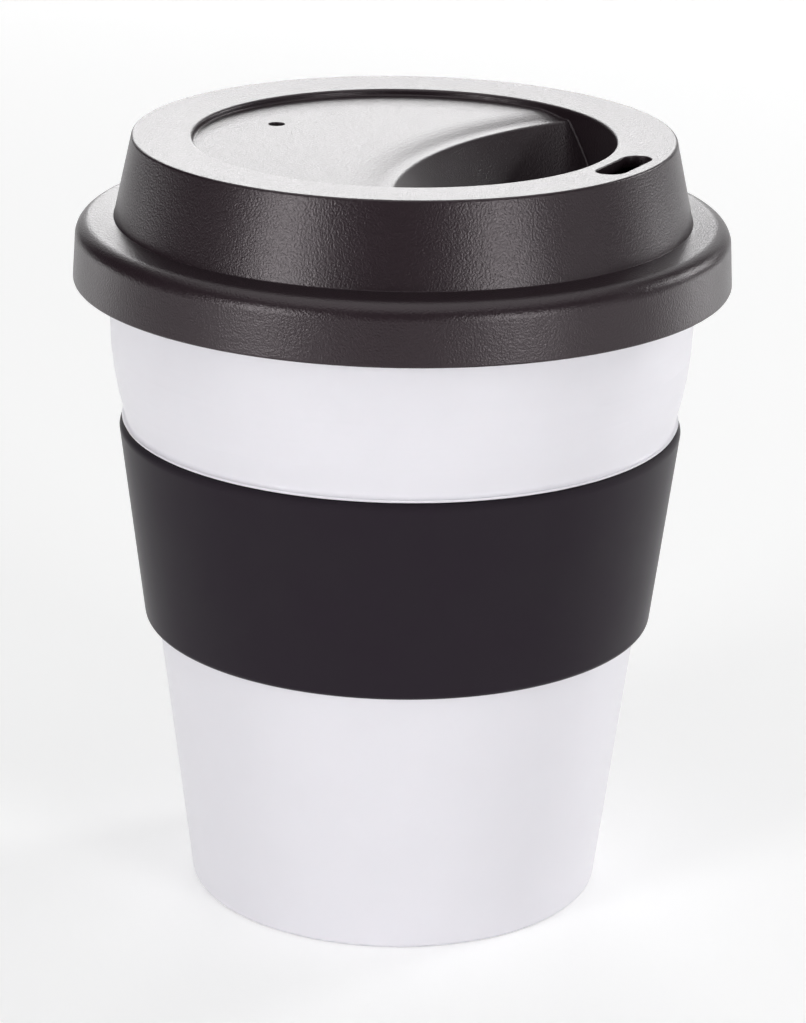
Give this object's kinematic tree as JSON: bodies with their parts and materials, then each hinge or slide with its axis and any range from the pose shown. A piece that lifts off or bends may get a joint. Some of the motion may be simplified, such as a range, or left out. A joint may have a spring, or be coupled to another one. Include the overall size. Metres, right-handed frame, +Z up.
{
  "type": "reusable coffee cup",
  "caption": "Tapered moulded coffee cup with a bulging collar, a stretched grip band and a push-on lid with a sunken drinking well, a sip slot and a vent.",
  "frame": {"origin": "on the cup's axis, at the surface that it stands on", "axes": "+Z up along the cup's axis; +X towards the side it is drunk from, where the sip slot and the well are"},
  "size_m": [0.0978, 0.0978, 0.117],
  "materials": {
    "cup_plastic": "satin white polypropylene",
    "band_silicone": "matte dark silicone",
    "lid_plastic": "charcoal polypropylene with a fine grain"
  },
  "bodies": {
    "cup": {"cup": "cup_plastic", "grip_band": "band_silicone"},
    "lid": {"lid": "lid_plastic"}
  },
  "joints": [
    {"name": "lid_lift", "type": "slide", "parent": "cup", "child": "lid", "axis": [0, 0, 1], "range_m": [0, 0.06]}
  ]
}
